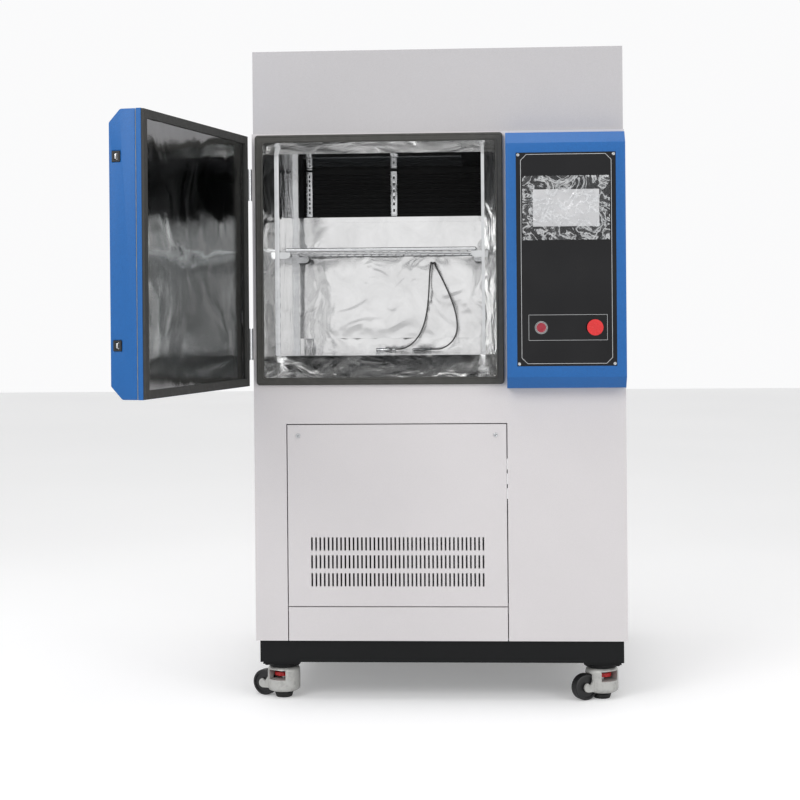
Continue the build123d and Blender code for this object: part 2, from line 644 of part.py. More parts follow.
def blower_motor():
    shape = rod((SPACE_X, motor_y0, MOTOR_Z), (SPACE_X, motor_y0 + MOTOR_L, MOTOR_Z), MOTOR_R)
    shape += rod((SPACE_X, motor_y0, MOTOR_Z), (SPACE_X, motor_y0 + 6, MOTOR_Z), MOTOR_R + 16)
    shape -= rod((SPACE_X, motor_y0 - 1, MOTOR_Z), (SPACE_X, motor_y0 + MOTOR_L - 18, MOTOR_Z),
                 SHAFT_R + SHAFT_CLEAR)
    return shape


def heater():
    y, x0, x1 = SPACE_REAR + 42, SPACE_LEFT + 30, SPACE_RIGHT - 30
    shape = None
    for n in range(3):
        z = BAR_BOTTOM + 30 + 30 * n
        tube = rod((x0, y, z), (x1, y, z), HEATER_R)
        shape = tube if shape is None else shape + tube
    for x in (x0, x1):
        shape += block(x - 1, x + 1, y - 12, LINER_REAR, BAR_BOTTOM + 18, BAR_BOTTOM + 102)
    return shape


write("blower_wheel", blower_wheel())
write("blower_motor", blower_motor())
write("heater_coil", heater())


# Door, drawn closed and then swung open about its hinge pin
PIN_X = LEFT - HINGE_PIN_X
PIN_Y = FRONT - HINGE_PIN_Y
DOOR_X0 = LEFT
DOOR_X1 = LEFT + DOOR_W
DOOR_Z0 = UPPER_Z + DOOR_BOTTOM
DOOR_Z1 = DOOR_Z0 + DOOR_H
GASKET_FACE = FRONT - DOOR_GAP
PAN_FACE = GASKET_FACE - DOOR_GASKET_T
SHELL_BACK = PAN_FACE - DOOR_PAN_T - DOOR_SEAM
SHELL_FACE = PAN_FACE - DOOR_T


def open_door(shape):
    return shape.rotate(Axis((PIN_X, PIN_Y, 0), (0, 0, 1)), -DOOR_OPEN)


def chamfered(x0, x1, face, back, z0, z1, inset):
    """A bar along X whose front corners are cut off at the top and bottom."""
    slope = inset * (tan(atan2(CHAMFER_D, CHAMFER_H) / 2))
    rise = inset * (tan(atan2(CHAMFER_H, CHAMFER_D) / 2))
    d, h = CHAMFER_D, CHAMFER_H
    f, low, high = face + inset, z0 + inset, z1 - inset
    points = [(back, low), (face + d + rise, low), (f, z0 + h + slope), (f, z1 - h - slope),
              (face + d + rise, high), (back, high)]
    profile = Plane.YZ * make_face(Polyline(*points, close=True))
    return Pos(x0, 0, 0) * extrude(profile, amount=x1 - x0)


def door_shell():
    shape = chamfered(DOOR_X0, DOOR_X1, SHELL_FACE, SHELL_BACK, DOOR_Z0, DOOR_Z1, 0)
    shape -= chamfered(DOOR_X0 + SHEET, DOOR_X1 - SHEET, SHELL_FACE, SHELL_BACK + OVERLAP,
                       DOOR_Z0, DOOR_Z1, SHEET)
    y = SHELL_FACE
    shape -= rod((HANDLE_AT, y - 1, HANDLE_Z), (HANDLE_AT, y + 5, HANDLE_Z), SPINDLE_R + SHAFT_CLEAR)
    for z in (DOOR_Z0 + LATCH_LOW, DOOR_Z0 + LATCH_HIGH):
        shape -= block(DOOR_X1 - 5, DOOR_X1 + 5, LATCH_Y - LATCH_W / 2, LATCH_Y + LATCH_W / 2,
                       z - LATCH_H / 2, z + LATCH_H / 2)
    return shape


def door_inner_pan():
    shape = block(DOOR_X0, DOOR_X1, PAN_FACE - DOOR_PAN_T, PAN_FACE, DOOR_Z0, DOOR_Z1)
    m = GASKET_W + 6
    shape -= block(DOOR_X0 + m, DOOR_X1 - m, PAN_FACE - DOOR_PAN_T - 1, PAN_FACE + 1, DOOR_Z0 + m, DOOR_Z1 - m)
    s = 3.0
    seam = block(DOOR_X0 + s, DOOR_X1 - s, SHELL_BACK, PAN_FACE - DOOR_PAN_T, DOOR_Z0 + s, DOOR_Z1 - s)
    seam -= block(DOOR_X0 + m, DOOR_X1 - m, SHELL_BACK - 1, PAN_FACE, DOOR_Z0 + m, DOOR_Z1 - m)
    return shape + seam


HANDLE_AT = DOOR_X1 - HANDLE_X
HANDLE_Z = (DOOR_Z0 + DOOR_Z1) / 2
LATCH_Y = SHELL_FACE + LATCH_INSET
LATCH_X = DOOR_X1 - 6.0
channel = block(DOOR_X1 - SHEET - 14, DOOR_X1 - SHEET, LATCH_Y - 12, LATCH_Y + 12,
                DOOR_Z0 + LATCH_LOW - 16, DOOR_Z0 + LATCH_HIGH + 16)


def door_insulation():
    shape = chamfered(DOOR_X0 + SHEET, DOOR_X1 - SHEET, SHELL_FACE, SHELL_BACK, DOOR_Z0, DOOR_Z1, SHEET)
    m = GASKET_W + 6
    shape += block(DOOR_X0 + m, DOOR_X1 - m, SHELL_BACK, PAN_FACE - LINER_T, DOOR_Z0 + m, DOOR_Z1 - m)
    shape -= channel
    bore = rod((HANDLE_AT, SHELL_FACE, HANDLE_Z), (HANDLE_AT, SHELL_FACE + 42, HANDLE_Z), SPINDLE_R + 2)
    return shape - bore


def door_liner():
    m = GASKET_W + 1
    shape = block(DOOR_X0 + m, DOOR_X1 - m, PAN_FACE, PAN_FACE + LINER_T, DOOR_Z0 + m, DOOR_Z1 - m)
    k = GASKET_W + 6
    return shape + block(DOOR_X0 + k, DOOR_X1 - k, PAN_FACE - LINER_T, PAN_FACE, DOOR_Z0 + k, DOOR_Z1 - k)


def door_gasket():
    shape = block(DOOR_X0 + 1, DOOR_X1 - 1, PAN_FACE, GASKET_FACE, DOOR_Z0 + 1, DOOR_Z1 - 1)
    m = GASKET_W + 1
    return shape - block(DOOR_X0 + m, DOOR_X1 - m, PAN_FACE - 1, GASKET_FACE + 1, DOOR_Z0 + m, DOOR_Z1 - m)


def latch_case(z):
    """A plastic box let into the door's free edge, with a round pocket and a window for the hook."""
    shape = block(DOOR_X1 - SHEET - 12, DOOR_X1 + 1.5, LATCH_Y - LATCH_W / 2, LATCH_Y + LATCH_W / 2,
                  z - LATCH_H / 2, z + LATCH_H / 2)
    shape -= Pos(LATCH_X, LATCH_Y, z) * Cylinder(5.6, LATCH_H + 2)
    return single(shape - block(LATCH_X, DOOR_X1 + 4, LATCH_Y - 4.5, LATCH_Y + 4.5, z - 7, z + 7))


def latch_rod():
    """Two hooks on one upright rod, which the handle turns."""
    middle = DOOR_Z0 + (LATCH_LOW + LATCH_HIGH) / 2
    shape = Pos(LATCH_X, LATCH_Y, middle) * Cylinder(3, LATCH_HIGH - LATCH_LOW + 28)
    for z in (DOOR_Z0 + LATCH_LOW, DOOR_Z0 + LATCH_HIGH):
        shape += Pos(LATCH_X, LATCH_Y, z) * Cylinder(5, 12)
        shape += block(LATCH_X, DOOR_X1 + 3, LATCH_Y - 2, LATCH_Y + 2, z - 5, z + 5)
    return shape


def door_handle():
    """A lever on a round rose, with its spindle through the outer shell."""
    y = SHELL_FACE
    shape = rod((HANDLE_AT, y + 38, HANDLE_Z), (HANDLE_AT, y - 26, HANDLE_Z), SPINDLE_R)
    shape += rod((HANDLE_AT, y - 0.3, HANDLE_Z), (HANDLE_AT, y - 12, HANDLE_Z), 22)
    shape += rod((HANDLE_AT, y - 26, HANDLE_Z + HANDLE_R), (HANDLE_AT, y - 26, HANDLE_Z - HANDLE_L), HANDLE_R)
    shape += rod((HANDLE_AT, y - 12, HANDLE_Z), (HANDLE_AT, y - 26, HANDLE_Z), 12)
    shape += Pos(HANDLE_AT, y - 26, HANDLE_Z - HANDLE_L) * Sphere(HANDLE_R)
    return single(shape)


def hinge(z, part):
    """One butt hinge: two outer knuckles and the pin on the frame leaf, the middle one on the door leaf."""
    third = HINGE_H / 3
    low = z - HINGE_H / 2
    if part == "frame":
        spans = [(low, low + third), (low + 2 * third, low + HINGE_H)]
        leaf = block(LEFT - HINGE_LEAF_T, LEFT, PIN_Y, PIN_Y + HINGE_LEAF_W + HINGE_PIN_Y, low, low + HINGE_H)
        leaf -= block(LEFT - HINGE_LEAF_T - 1, LEFT + 1, PIN_Y - 1, PIN_Y + HINGE_R + 1,
                      low + third, low + 2 * third)
        leaf -= rod((PIN_X, PIN_Y, low - 1), (PIN_X, PIN_Y, low + HINGE_H + 1), HINGE_R - 0.5)
    else:
        spans = [(low + third + 0.3, low + 2 * third - 0.3)]
        leaf = block(LEFT - HINGE_LEAF_T, LEFT, PIN_Y - HINGE_PIN_Y - HINGE_LEAF_W, PIN_Y, *spans[0])
        leaf += block(LEFT - HINGE_LEAF_T, LEFT, PIN_Y - HINGE_PIN_Y - HINGE_LEAF_W, PIN_Y - HINGE_PIN_Y,
                      low, low + HINGE_H)
        leaf -= rod((PIN_X, PIN_Y, low - 1), (PIN_X, PIN_Y, low + HINGE_H + 1), HINGE_R - 0.5)
    shape = leaf
    for z0, z1 in spans:
        shape += rod((PIN_X, PIN_Y, z0), (PIN_X, PIN_Y, z1), HINGE_R)
    if part == "frame":
        return shape + rod((PIN_X, PIN_Y, low), (PIN_X, PIN_Y, low + HINGE_H), HINGE_PIN_R)
    return shape - rod((PIN_X, PIN_Y, low), (PIN_X, PIN_Y, low + HINGE_H), HINGE_PIN_R + HINGE_CLEAR)


hinge_heights = (UPPER_Z + HINGE_LOW, UPPER_Z + HINGE_HIGH)
write("door_shell", open_door(door_shell()))
write("door_inner_pan", open_door(door_inner_pan()))
write("door_liner", open_door(door_liner()))
write("door_gasket", open_door(door_gasket()))
write("door_insulation", open_door(door_insulation()))
write("latch_cases", *[open_door(latch_case(DOOR_Z0 + z)) for z in (LATCH_LOW, LATCH_HIGH)])
write("latch_rod", open_door(latch_rod()))
write("door_handle", open_door(door_handle()))
write("hinge_frame_leaves", *[hinge(z, "frame") for z in hinge_heights])
write("hinge_door_leaves", *[open_door(hinge(z, "door")) for z in hinge_heights])

# Control panel
BEZEL_X1 = RIGHT - BEZEL_RIGHT
BEZEL_X0 = BEZEL_X1 - BEZEL_W
BEZEL_Z0 = UPPER_Z + BEZEL_BOTTOM
BEZEL_FACE = FRONT - BEZEL_T
PX0, PX1 = PLATE_X - PLATE_W / 2, PLATE_X + PLATE_W / 2
PZ0 = UPPER_Z + PLATE_BOTTOM
PZ1 = PZ0 + PLATE_H
PLATE_FACE = BEZEL_FACE + PLATE_RECESS


def bezel():
    shape = chamfered(BEZEL_X0, BEZEL_X1, BEZEL_FACE, FRONT, BEZEL_Z0, BEZEL_Z0 + BEZEL_H, 0)
    shape -= chamfered(BEZEL_X0 + SHEET, BEZEL_X1 - SHEET, BEZEL_FACE, FRONT + OVERLAP,
                       BEZEL_Z0, BEZEL_Z0 + BEZEL_H, SHEET)
    rim = block(PX0 - SHEET, PX1 + SHEET, BEZEL_FACE, PLATE_FACE + PLATE_T + 4, PZ0 - SHEET, PZ1 + SHEET)
    shape += rim
    shape -= block(PX0, PX1, BEZEL_FACE - 1, PLATE_FACE + PLATE_T, PZ0, PZ1)
    shape -= block(PX0 + 6, PX1 - 6, BEZEL_FACE - 1, PLATE_FACE + PLATE_T + 6, PZ0 + 6, PZ1 - 6)
    return shape


def control_plate():
    shape = block(PX0, PX1, PLATE_FACE, PLATE_FACE + PLATE_T, PZ0, PZ1)
    zs = UPPER_Z + SCREEN_Z
    shape -= block(PLATE_X - SCREEN_W / 2 + 4, PLATE_X + SCREEN_W / 2 - 4, PLATE_FACE - 1,
                   PLATE_FACE + PLATE_T + 1, zs - SCREEN_H / 2 + 4, zs + SCREEN_H / 2 - 4)
    for x in (POWER_X, ESTOP_X):
        shape -= rod((x, PLATE_FACE - 1, UPPER_Z + BUTTON_Z), (x, PLATE_FACE + PLATE_T + 1, UPPER_Z + BUTTON_Z),
                     BUTTON_HOLE_R)
    return shape


def touch_screen():
    zs, x = UPPER_Z + SCREEN_Z, PLATE_X
    shape = block(x - SCREEN_W / 2, x + SCREEN_W / 2, PLATE_FACE - SCREEN_T, PLATE_FACE,
                  zs - SCREEN_H / 2, zs + SCREEN_H / 2)
    shape = fillet(shape.edges().filter_by(Axis.Y), 3)
    return shape + block(x - SCREEN_W / 2 + 4, x + SCREEN_W / 2 - 4, PLATE_FACE, PLATE_FACE + SCREEN_BACK,
                         zs - SCREEN_H / 2 + 4, zs + SCREEN_H / 2 - 4)


def collar(x, radius, hole):
    z, y = UPPER_Z + BUTTON_Z, PLATE_FACE
    shape = rod((x, y, z), (x, y - COLLAR_T, z), radius)
    shape += rod((x, y, z), (x, y + 30, z), BUTTON_HOLE_R)
    return shape - rod((x, y - COLLAR_T - 1, z), (x, y + 22, z), hole)


def power_cap():
    z, y = UPPER_Z + BUTTON_Z, PLATE_FACE
    shape = rod((POWER_X, y - COLLAR_T - 2.5, z), (POWER_X, y + 17, z), POWER_CAP_R)
    face = shape.faces().sort_by(Axis.Y)[0]
    return fillet(face.edges(), 1)


def estop_head():
    z, y = UPPER_Z + BUTTON_Z, PLATE_FACE
    stem = rod((ESTOP_X, y - 20, z), (ESTOP_X, y + 14, z), ESTOP_STEM_R)
    head = rod((ESTOP_X, y - 30, z), (ESTOP_X, y - 18, z), ESTOP_HEAD_R)
    head = fillet(head.faces().sort_by(Axis.Y)[0].edges(), 5)
    return stem + head


write("control_bezel", bezel())
write("control_plate", control_plate())
write("touch_screen", touch_screen())
write("button_collars", collar(POWER_X, POWER_RING_R, POWER_CAP_R + BUTTON_CLEAR),
      collar(ESTOP_X, ESTOP_RING_R, ESTOP_STEM_R + BUTTON_CLEAR))
write("power_button_cap", power_cap())
write("estop_head", estop_head())

# Machinery in the lower cabinet
deck = LOWER_Z + DECK_T
POT_X, POT_Y = LEFT + COMPRESSOR_LEFT, BACK - COMPRESSOR_BACK
pot = Pos(POT_X, POT_Y, deck + 20 + COMPRESSOR_H / 2) * Cylinder(COMPRESSOR_R, COMPRESSOR_H)
pot = fillet(pot.edges(), 25)
pot += Pos(POT_X, POT_Y, deck + 10) * Box(190, 130, 4)
for sx in (-1, 1):
    for sy in (-1, 1):
        pot += Pos(POT_X + sx * 80, POT_Y + sy * 50, deck + 6) * Cylinder(10, 12)
pot += Pos(POT_X, POT_Y, deck + 20) * Cylinder(COMPRESSOR_R - 25, 20)
write("compressor", single(pot))
CON_Y = BACK - 130
FAN_Z = deck + CONDENSER_H / 2


def condenser():
    shape = block(-CONDENSER_W / 2, CONDENSER_W / 2, CON_Y, CON_Y + CONDENSER_T, deck, deck + CONDENSER_H)
    for n in range(11):
        z = deck + 20 + n * 22
        shape -= block(-CONDENSER_W / 2 + 12, CONDENSER_W / 2 - 12, CON_Y - 1, CON_Y + 12, z - 7, z + 7)
    shape -= rod((0, CON_Y + 20, FAN_Z), (0, CON_Y + CONDENSER_T + 1, FAN_Z), FAN_R + FAN_CLEAR)
    return shape + rod((0, CON_Y + 16, FAN_Z), (0, CON_Y + 30, FAN_Z), 24)


def condenser_fan():
    shape = rod((0, CON_Y + 31, FAN_Z), (0, CON_Y + 55, FAN_Z), 24)
    blade = block(20, FAN_R, CON_Y + 42, CON_Y + 45, -26, 26)
    for n in range(FAN_BLADES):
        turned = Rot(0, 360 / FAN_BLADES * n, 0) * blade
        shape += Pos(0, 0, FAN_Z) * turned
    return single(shape)


write("condenser", condenser())
write("condenser_fan", condenser_fan())
TX0, TX1 = RIGHT - TANK_RIGHT - TANK_W, RIGHT - TANK_RIGHT
TY0, TY1 = FRONT + TANK_FRONT, FRONT + TANK_FRONT + TANK_D
tank = block(TX0, TX1, TY0, TY1, deck, deck + TANK_H)
tank -= block(TX0 + TANK_T, TX1 - TANK_T, TY0 + TANK_T, TY1 - TANK_T, deck + TANK_T, deck + TANK_H + 1)
write("water_tank", tank)
rack_x, rack_y, rack_z = RIGHT - RACK_RIGHT - RACK_W / 2, BACK - RACK_BACK, UPPER_Z + DECK_T
rack = [block(rack_x, rack_x + RACK_W, rack_y, rack_y + 3, rack_z, rack_z + RACK_H)]
for row, height in enumerate((70, 80, 110)):
    for n in range(4):
        x = rack_x + 20 + n * 54
        z = rack_z + 60 + row * 130
        rack.append(block(x, x + 45, rack_y - RACK_MODULE, rack_y, z, z + height))
write("electrics_rack", *rack)
MAINS_X, MAINS_Z = RIGHT - MAINS_RIGHT, LOWER_Z + 80
gland = rod((MAINS_X, BACK, MAINS_Z), (MAINS_X, BACK + 24, MAINS_Z), 14)
gland -= rod((MAINS_X, BACK - 1, MAINS_Z), (MAINS_X, BACK + 25, MAINS_Z), 8)

# Sensor leads, their glands and probes
glands = [gland]
for x in (SPACE_X + LEAD_LEFT_X, SPACE_X + LEAD_RIGHT_X):
    z = FLOOR_Z + LEAD_EXIT_Z
    glands.append(rod((x, SPACE_REAR, z), (x, SPACE_REAR - 20, z), 3.6))
write("cable_glands", *glands)


def in_space(points):
    """Points measured from the middle of the rear wall's foot, in the cabinet's frame."""
    return [(SPACE_X + x, SPACE_REAR + y, FLOOR_Z + z) for x, y, z in points]


def lead(points):
    turns = []
    for a, b, c in zip(points, points[1:], points[2:]):
        one, two = Vector(*b) - Vector(*a), Vector(*c) - Vector(*b)
        run = min(one.length, two.length)
        turns.append(0.45 * run / tan(radians(one.get_angle(two)) / 2))
    print("bend radii", [round(turn, 1) for turn in turns])
    path = FilletPolyline(*points, radius=turns)
    return sweep(Plane(path @ 0, z_dir=path % 0) * Circle(LEAD_R), path=path)


def probe(points):
    a, b = Vector(*points[-2]), Vector(*points[-1])
    along = (b - a).normalized()
    return rod(tuple(b), tuple(b + along * PROBE_L), PROBE_R)


left_route, right_route = in_space(LEAD_LEFT), in_space(LEAD_RIGHT)
write("sensor_lead_left", lead(left_route))
write("sensor_lead_right", lead(right_route))
write("sensor_probes", probe(left_route), probe(right_route))
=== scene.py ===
from math import cos, pi, radians, sin
import bpy
from mathutils import Matrix, Vector


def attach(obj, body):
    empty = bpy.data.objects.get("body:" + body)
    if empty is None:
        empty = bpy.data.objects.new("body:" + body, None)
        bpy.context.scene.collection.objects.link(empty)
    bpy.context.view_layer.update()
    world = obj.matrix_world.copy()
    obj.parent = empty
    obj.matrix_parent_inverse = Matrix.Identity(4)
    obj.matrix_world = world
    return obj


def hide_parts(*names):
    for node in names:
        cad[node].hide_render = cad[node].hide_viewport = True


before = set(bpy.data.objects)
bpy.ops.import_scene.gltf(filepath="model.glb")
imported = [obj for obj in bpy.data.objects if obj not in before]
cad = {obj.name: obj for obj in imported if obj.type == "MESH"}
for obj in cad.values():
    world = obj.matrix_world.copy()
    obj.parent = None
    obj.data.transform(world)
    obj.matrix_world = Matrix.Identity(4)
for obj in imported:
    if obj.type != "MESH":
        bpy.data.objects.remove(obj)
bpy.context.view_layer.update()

# Sizes in metres, as the chamber was drawn
front = -0.450
upper = 0.756
pin = Vector((-0.4556, -0.458, 0.0))
door_open = radians(102)
door_left, door_right = -0.450, 0.160
door_low, door_high = 0.767, 1.373
gasket_face = front - 0.0085
pan_face = gasket_face - 0.006
shell_face = pan_face - 0.0725
shell_back = pan_face - 0.0125
latch_y = shell_face + 0.016
seal_left, seal_right = -0.4415, 0.1585
seal_low, seal_high = 0.769, 1.375
bezel_left, bezel_right = 0.165, 0.448
bezel_low, bezel_high = 0.760, 1.370
bezel_face = front - 0.062
plate_face = bezel_face + 0.001
plate_x = 0.3073
plate_low, plate_high = 0.813, 1.320
button_z = upper + 0.1485
power_x, stop_x = 0.2466, 0.3725
screen_z = upper + 0.432

# The camera stands where the photographer stood, turned a little to the left
camera_data = bpy.data.cameras.new("camera")
camera = bpy.data.objects.new("camera", camera_data)
bpy.context.scene.collection.objects.link(camera)
bpy.context.scene.camera = camera
yaw, pitch, roll = radians(-3.23), radians(-0.17), radians(-0.49)
ahead = Vector((sin(yaw) * cos(pitch), cos(yaw) * cos(pitch), sin(pitch)))
level = Vector((cos(yaw), -sin(yaw), 0))
above = level.cross(ahead)
across = level * cos(roll) + above * sin(roll)
upright = above * cos(roll) - level * sin(roll)
turn = Matrix((across, upright, -ahead)).transposed().to_4x4()
camera.matrix_world = Matrix.Translation((0.1504, -4.4673, 0.9511)) @ turn
camera_data.sensor_width = 36
camera_data.lens = 74.86
camera_data.shift_x = -0.0083
camera_data.shift_y = -0.1074
camera_data.clip_end = 60


# Handling pieces
def deselect():
    if bpy.context.object and bpy.context.object.mode == "EDIT":
        bpy.ops.object.mode_set(mode="OBJECT")
    bpy.ops.object.select_all(action="DESELECT")


def take(piece):
    deselect()
    piece.select_set(True)
    bpy.context.view_layer.objects.active = piece


def settle(piece):
    """Puts a piece's place, turn and size into its mesh."""
    take(piece)
    bpy.ops.object.transform_apply(location=True, rotation=True, scale=True)
    return piece


def slab(x0, x1, y0, y1, z0, z1):
    deselect()
    middle = ((x0 + x1) / 2, (y0 + y1) / 2, (z0 + z1) / 2)
    bpy.ops.mesh.primitive_cube_add(size=1, location=middle, scale=(x1 - x0, y1 - y0, z1 - z0))
    return settle(bpy.context.object)


def drum(radius, start, end, sides=48):
    deselect()
    start, end = Vector(start), Vector(end)
    along = end - start
    turned = along.to_track_quat("Z", "Y").to_euler()
    bpy.ops.mesh.primitive_cylinder_add(vertices=sides, radius=radius, depth=along.length,
                                        location=(start + end) / 2, rotation=turned)
    return settle(bpy.context.object)


def pick_faces(piece, wanted):
    """Goes into edit mode with the wanted faces selected, and nothing else."""
    take(piece)
    bpy.ops.object.mode_set(mode="EDIT")
    bpy.ops.mesh.select_mode(type="FACE")
    bpy.ops.mesh.select_all(action="DESELECT")
    bpy.ops.object.mode_set(mode="OBJECT")
    for face in piece.data.polygons:
        face.select = wanted(face)
    bpy.ops.object.mode_set(mode="EDIT")


def object_mode():
    bpy.ops.object.mode_set(mode="OBJECT")


def slice_off(piece, point, outwards):
    """Cuts a corner off along a plane and closes the cut."""
    take(piece)
    bpy.ops.object.mode_set(mode="EDIT")
    bpy.ops.mesh.select_all(action="SELECT")
    bpy.ops.mesh.bisect(plane_co=point, plane_no=outwards, use_fill=True, clear_outer=True)
    object_mode()
    return piece


def soften(piece, width, segments=3, sharper_than=30):
    take(piece)
    bpy.ops.object.modifier_add(type="BEVEL")
    bevel = piece.modifiers[-1]
    bevel.width = width
    bevel.segments = segments
    bevel.limit_method = "ANGLE"
    bevel.angle_limit = radians(sharper_than)
    bevel.harden_normals = False
    bpy.ops.object.modifier_apply(modifier=bevel.name)
    bpy.ops.object.shade_smooth_by_angle(angle=radians(40))
    return piece


def cut(piece, *cutters):
    for cutter in cutters:
        take(piece)
        bpy.ops.object.modifier_add(type="BOOLEAN")
        boolean = piece.modifiers[-1]
        boolean.operation = "DIFFERENCE"
        boolean.solver = "EXACT"
        boolean.object = cutter
        bpy.ops.object.modifier_apply(modifier=boolean.name)
        bpy.data.objects.remove(cutter)
    return piece


def joined(*parts):
    deselect()
    for part in parts:
        part.select_set(True)
    bpy.context.view_layer.objects.active = parts[0]
    bpy.ops.object.join()
    return bpy.context.object


def copied(piece, move):
    """A copy with its own mesh, moved by a matrix."""
    twin = piece.copy()
    twin.data = piece.data.copy()
    bpy.context.scene.collection.objects.link(twin)
    twin.matrix_world = move @ twin.matrix_world
    return settle(twin)


def swing(piece):
    """Turns a piece that was modelled on the closed door out with it."""
    turned = Matrix.Rotation(-door_open, 4, "Z")
    piece.matrix_world = Matrix.Translation(pin) @ turned @ Matrix.Translation(-pin)
    return settle(piece)


def fit(piece, name, body, slot, finish, *stands_for):
    piece.name = name
    piece.data.name = name
    if finish:
        piece.data.materials.clear()
        piece.data.materials.append(finish)
    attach(piece, body)
    if stands_for:
        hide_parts(*stands_for)
    return piece


# Finishes
class Finish:
    """A material that is built up from object coordinates."""

    def __init__(self, name):
        self.material = bpy.data.materials.new(name)
        self.material.use_nodes = True
        self.nodes = self.material.node_tree.nodes
        self.links = self.material.node_tree.links
        self.shader = self.nodes["Principled BSDF"]
        self.place = self.nodes.new("ShaderNodeTexCoord").outputs["Object"]
        self.height = None

    def set(self, **values):
        names = {"metal": "Metallic", "rough": "Roughness", "coat": "Coat Weight",
                 "coat_rough": "Coat Roughness", "glow": "Emission Strength",
                 "clear": "Transmission Weight", "ior": "IOR", "specular": "Specular IOR Level"}
        for key, value in values.items():
            self.shader.inputs[names[key]].default_value = value
        return self

    def stretched(self, scale):
        node = self.nodes.new("ShaderNodeMapping")
        node.inputs["Scale"].default_value = scale
        self.links.new(self.place, node.inputs["Vector"])
        return node.outputs["Vector"]

    def noise(self, scale, detail=3.0, roughness=0.5, stretch=None, distortion=0.0):
        node = self.nodes.new("ShaderNodeTexNoise")
        node.inputs["Scale"].default_value = scale
        node.inputs["Detail"].default_value = detail
        node.inputs["Roughness"].default_value = roughness
        node.inputs["Distortion"].default_value = distortion
        self.links.new(self.stretched(stretch) if stretch else self.place, node.inputs["Vector"])
        return node.outputs["Fac"]

    def cells(self, scale):
        node = self.nodes.new("ShaderNodeTexVoronoi")
        node.inputs["Scale"].default_value = scale
        self.links.new(self.place, node.inputs["Vector"])
        return node.outputs["Distance"]

    def ramp(self, source, *stops):
        node = self.nodes.new("ShaderNodeValToRGB")
        points = node.color_ramp.elements
        while len(points) < len(stops):
            points.new(0.5)
        for point, (at, colour) in zip(points, stops):
            point.position = at
            point.color = (*colour, 1) if len(colour) == 3 else colour
        self.links.new(source, node.inputs["Fac"])
        return node.outputs["Color"]

    def colour(self, source):
        if isinstance(source, tuple):
            self.shader.inputs["Base Color"].default_value = (*source, 1)
        else:
            self.links.new(source, self.shader.inputs["Base Color"])
        return self

    def roughness(self, source, low, high):
        node = self.nodes.new("ShaderNodeMapRange")
        node.inputs["To Min"].default_value = low
        node.inputs["To Max"].default_value = high
        self.links.new(source, node.inputs["Value"])
        self.links.new(node.outputs["Result"], self.shader.inputs["Roughness"])
        return self

    def bump(self, source, distance, strength=1.0):
        node = self.nodes.new("ShaderNodeBump")
        node.inputs["Distance"].default_value = distance
        node.inputs["Strength"].default_value = strength
        self.links.new(source, node.inputs["Height"])
        if self.height:
            self.links.new(self.height, node.inputs["Normal"])
        self.height = node.outputs["Normal"]
        self.links.new(self.height, self.shader.inputs["Normal"])
        return self


def shade(colour, factor):
    return tuple(min(1, channel * factor) for channel in colour)


def powder_coat(name, colour, rough=0.42, grain=900, depth=0.00006, speckle=0.06, drift=0.05,
                specular=0.5):
    """Baked powder coat: fine orange peel, tiny specks and a slow drift of tone."""
    finish = Finish(name).set(specular=specular)
    specks = finish.noise(grain * 1.7, 2, 0.7)
    dark, light = shade(colour, 1 - speckle), shade(colour, 1 + speckle)
    base = finish.ramp(specks, (0.30, dark), (0.5, colour), (0.72, light))
    slow = finish.noise(2.2, 4, 0.55)
    tone = finish.ramp(slow, (0.3, (1 - drift,) * 3), (0.7, (1, 1, 1)))
    mix = finish.nodes.new("ShaderNodeMix")
    mix.data_type = "RGBA"
    mix.blend_type = "MULTIPLY"
    mix.inputs["Factor"].default_value = 1
    finish.links.new(base, mix.inputs["A"])
    finish.links.new(tone, mix.inputs["B"])
    finish.colour(mix.outputs["Result"])
    finish.roughness(finish.noise(40, 3), rough - 0.05, rough + 0.06)
    finish.bump(finish.noise(grain, 2, 0.5), depth)
    return finish.material


def stainless(name, colour=(0.70, 0.71, 0.72), rough=0.09, buckle=0.004, waves=9.0, stretch=None):
    """Bright stainless sheet that was peeled, bent and leaned on: soft buckles, faint grain, a few smears."""
    finish = Finish(name).set(metal=1.0)
    smear = finish.noise(14, 6, 0.62, distortion=0.6)
    finish.colour(finish.ramp(smear, (0.25, shade(colour, 0.86)), (0.6, colour), (0.85, shade(colour, 1.08))))
    finish.roughness(finish.noise(30, 5, 0.6, distortion=0.4), rough * 0.6, rough * 1.9)
    finish.bump(finish.noise(waves, 2, 0.45, stretch, distortion=0.9), buckle)
    finish.bump(finish.noise(320, 2, 0.6, (1, 1, 12)), 0.00003)
    return finish.material


def rubber(name, colour, grain=500):
    finish = Finish(name)
    dust = finish.noise(55, 5, 0.65)
    finish.colour(finish.ramp(dust, (0.35, shade(colour, 0.8)), (0.62, colour), (0.85, shade(colour, 1.5))))
    finish.roughness(finish.noise(90, 4), 0.55, 0.78)
    finish.bump(finish.noise(grain, 3, 0.6), 0.00012)
    return finish.material


def plastic(name, colour, rough=0.35, grain=700, depth=0.00003, coat=0.0):
    finish = Finish(name).set(coat=coat, coat_rough=0.08)
    finish.colour(finish.ramp(finish.noise(35, 4), (0.3, shade(colour, 0.92)), (0.7, shade(colour, 1.06))))
    finish.roughness(finish.noise(120, 4), rough - 0.05, rough + 0.08)
    finish.bump(finish.noise(grain, 2), depth)
    return finish.material


def plated(name, colour=(0.62, 0.63, 0.64), rough=0.28, grain=(1, 1, 40)):
    """Zinc or chrome plate with a drawn grain."""
    finish = Finish(name).set(metal=1.0)
    finish.colour(finish.ramp(finish.noise(60, 5), (0.3, shade(colour, 0.85)), (0.7, colour)))
    finish.roughness(finish.noise(160, 4, 0.6, grain), rough * 0.7, rough * 1.4)
    finish.bump(finish.noise(600, 2, 0.5, grain), 0.00002)
    return finish.material


